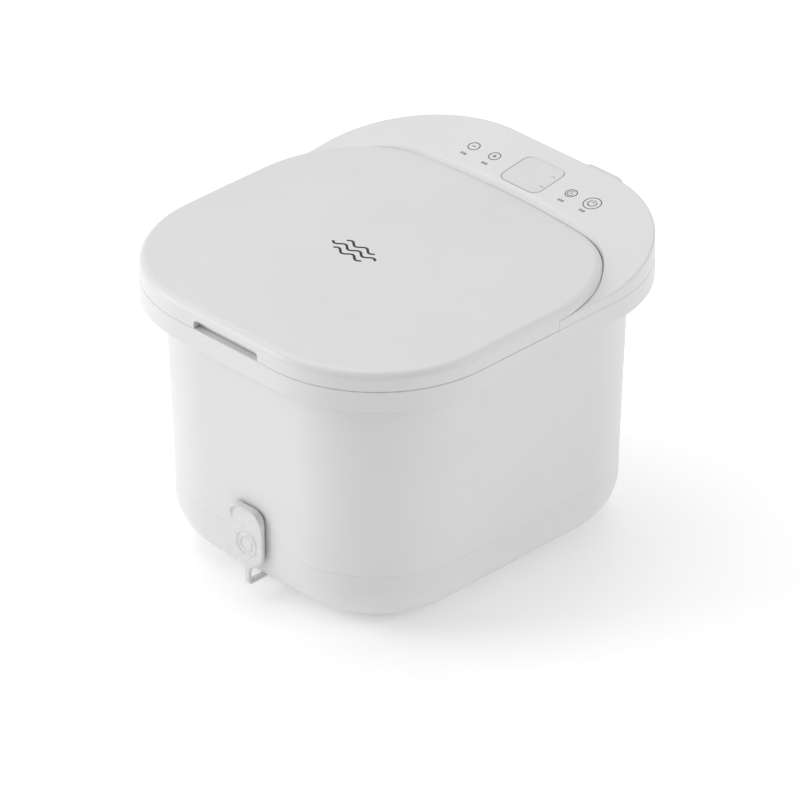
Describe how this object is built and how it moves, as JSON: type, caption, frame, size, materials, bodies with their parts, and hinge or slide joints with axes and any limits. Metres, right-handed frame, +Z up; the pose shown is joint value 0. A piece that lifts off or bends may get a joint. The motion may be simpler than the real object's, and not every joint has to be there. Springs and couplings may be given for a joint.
{
  "type": "heated foot bath",
  "caption": "Deep rectangular heated foot bath with a lift-off lid, a sloped touch-control deck, massage rollers, a circulation pump and a hinged drain plug at the front.",
  "frame": {"origin": "on the floor, under the middle of the whole object", "axes": "+X to the right seen from the front, +Y to the rear where the controls are, +Z up"},
  "size_m": [0.36, 0.418, 0.2859],
  "materials": {
    "shell_white": "satin white moulding",
    "basin_white": "glossy white moulding",
    "liner_white": "matt white moulding",
    "lens_white": "glossy tinted window",
    "roller_grey": "matt light grey",
    "plug_white": "soft white silicone",
    "foot_rubber": "matt grey rubber",
    "seal_rubber": "soft grey silicone",
    "spout_white": "matt white moulding",
    "inner_grey": "matt grey moulding",
    "steel": "brushed stainless steel",
    "board_green": "green circuit board laminate",
    "part_black": "matt black",
    "spring_brass": "plated brass"
  },
  "bodies": {
    "tub": {"base_pan": "shell_white", "outer_shell": "shell_white", "rim_collar": "shell_white", "control_deck": "shell_white", "mains_inlet_housing": "shell_white", "basin": "basin_white", "intake_grille": "basin_white", "return_nozzle": "basin_white", "drain_strainer": "basin_white", "roller_cradle_left": "liner_white", "roller_cradle_right": "liner_white", "display_lens": "lens_white", "plug_strap": "plug_white", "rubber_foot_1": "foot_rubber", "rubber_foot_2": "foot_rubber", "rubber_foot_3": "foot_rubber", "rubber_foot_4": "foot_rubber", "basin_gasket": "seal_rubber", "pump_hose": "seal_rubber", "return_hose": "seal_rubber", "drain_spout": "spout_white", "drain_elbow": "spout_white", "pump_housing": "inner_grey", "heater_caps": "inner_grey", "board_carrier": "inner_grey", "roller_axles_left": "steel", "roller_axles_right": "steel", "motor_can": "steel", "heater_tube": "steel", "heater_element": "steel", "temperature_probe": "steel", "deck_screws": "steel", "base_screws": "steel", "control_board": "board_green", "power_board": "board_green", "display_module": "part_black", "buzzer": "part_black", "board_components": "part_black", "thermal_cutout": "part_black", "mains_socket": "part_black", "inlet_leads": "part_black", "socket_pins": "spring_brass", "touch_pads": "spring_brass"},
    "lid": {"lid_shell": "shell_white", "lid_liner": "liner_white", "lid_gasket": "seal_rubber", "lid_screws": "steel"},
    "plug": {"drain_plug": "plug_white"},
    "roller_left_front": {"roller_left_front": "roller_grey"},
    "roller_left_rear": {"roller_left_rear": "roller_grey"},
    "roller_right_front": {"roller_right_front": "roller_grey"},
    "roller_right_rear": {"roller_right_rear": "roller_grey"},
    "pump_rotor": {"pump_impeller": "inner_grey", "motor_shaft": "steel", "motor_rotor": "steel"}
  },
  "joints": [
    {"name": "lid_lift", "type": "slide", "parent": "tub", "child": "lid", "axis": [0, 0, 1], "range_m": [0, 0.25]},
    {"name": "plug_swing", "type": "hinge", "parent": "tub", "child": "plug", "pos_m": [0, -0.18538, 0.0145], "axis": [1, 0, 0], "range_deg": [0, 90]},
    {"name": "left_front_roller_spin", "type": "hinge", "parent": "tub", "child": "roller_left_front", "pos_m": [-0.066, -0.076, 0.088], "axis": [1, 0, 0], "continuous": true},
    {"name": "left_rear_roller_spin", "type": "hinge", "parent": "tub", "child": "roller_left_rear", "pos_m": [-0.066, -0.026, 0.088], "axis": [1, 0, 0], "continuous": true},
    {"name": "right_front_roller_spin", "type": "hinge", "parent": "tub", "child": "roller_right_front", "pos_m": [0.066, -0.076, 0.088], "axis": [1, 0, 0], "continuous": true},
    {"name": "right_rear_roller_spin", "type": "hinge", "parent": "tub", "child": "roller_right_rear", "pos_m": [0.066, -0.026, 0.088], "axis": [1, 0, 0], "continuous": true},
    {"name": "pump_spin", "type": "hinge", "parent": "tub", "child": "pump_rotor", "pos_m": [-0.045, 0.024, 0.05], "axis": [0, 0, 1], "continuous": true}
  ]
}
